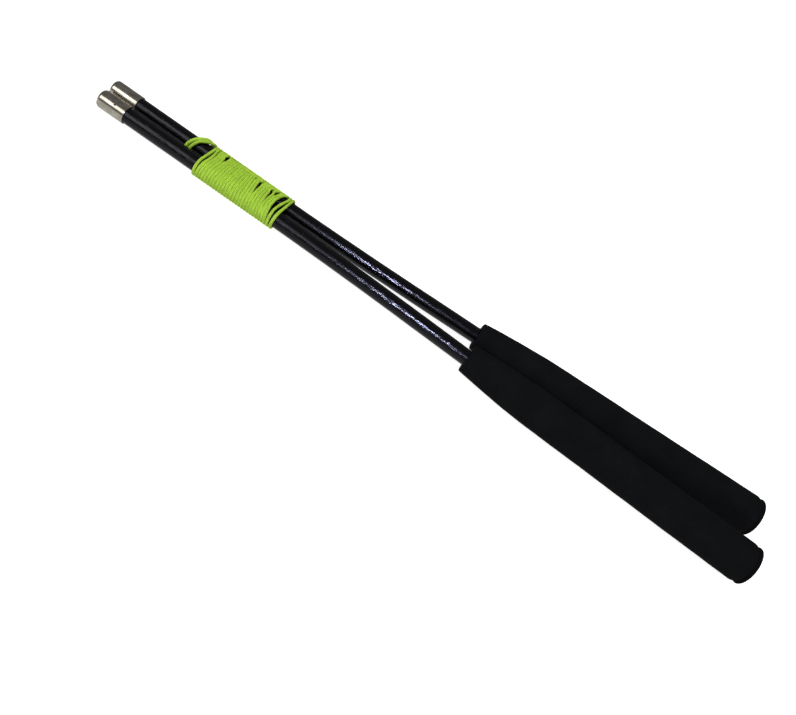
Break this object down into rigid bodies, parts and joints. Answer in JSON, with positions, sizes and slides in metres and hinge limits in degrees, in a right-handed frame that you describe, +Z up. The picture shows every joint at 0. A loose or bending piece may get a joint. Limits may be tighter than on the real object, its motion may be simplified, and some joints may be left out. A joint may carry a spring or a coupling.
{
  "type": "diabolo hand sticks",
  "caption": "Bundled pair of diabolo hand sticks: composite tubes with rounded metal tips and tapered foam grips, tied together by a wound string.",
  "frame": {"origin": "centre of the bundle's outline, on the surface that the bundle lies on", "axes": "+X along the bundle from the metal tips to the grips, +Y from the lower stick to the upper stick, +Z up"},
  "size_m": [0.328, 0.0444, 0.0199],
  "materials": {
    "composite_tube": "black fibre composite, satin, fine speckle",
    "nickel_plated_steel": "nickel plate over drawn steel, softly polished",
    "foam": "black closed-cell EVA foam, matte",
    "plug_plastic": "moulded polyethylene",
    "string": "braided polyester string, lime green"
  },
  "bodies": {
    "lower_stick": {"lower_tube": "composite_tube", "lower_tip": "nickel_plated_steel", "lower_grip": "foam", "lower_end_plug": "plug_plastic"},
    "upper_stick": {"upper_tube": "composite_tube", "upper_tip": "nickel_plated_steel", "upper_grip": "foam", "upper_end_plug": "plug_plastic"},
    "string": {"string_winding": "string", "string_loop": "string"}
  },
  "joints": [
    {"name": "upper_stick_slide", "type": "slide", "parent": "lower_stick", "child": "upper_stick", "axis": [0.9998, 0, 0.0207], "range_m": [-0.015, 0.01]},
    {"name": "string_slide", "type": "slide", "parent": "lower_stick", "child": "string", "axis": [0.9998, 0, 0.0207], "range_m": [-0.014, 0]}
  ]
}
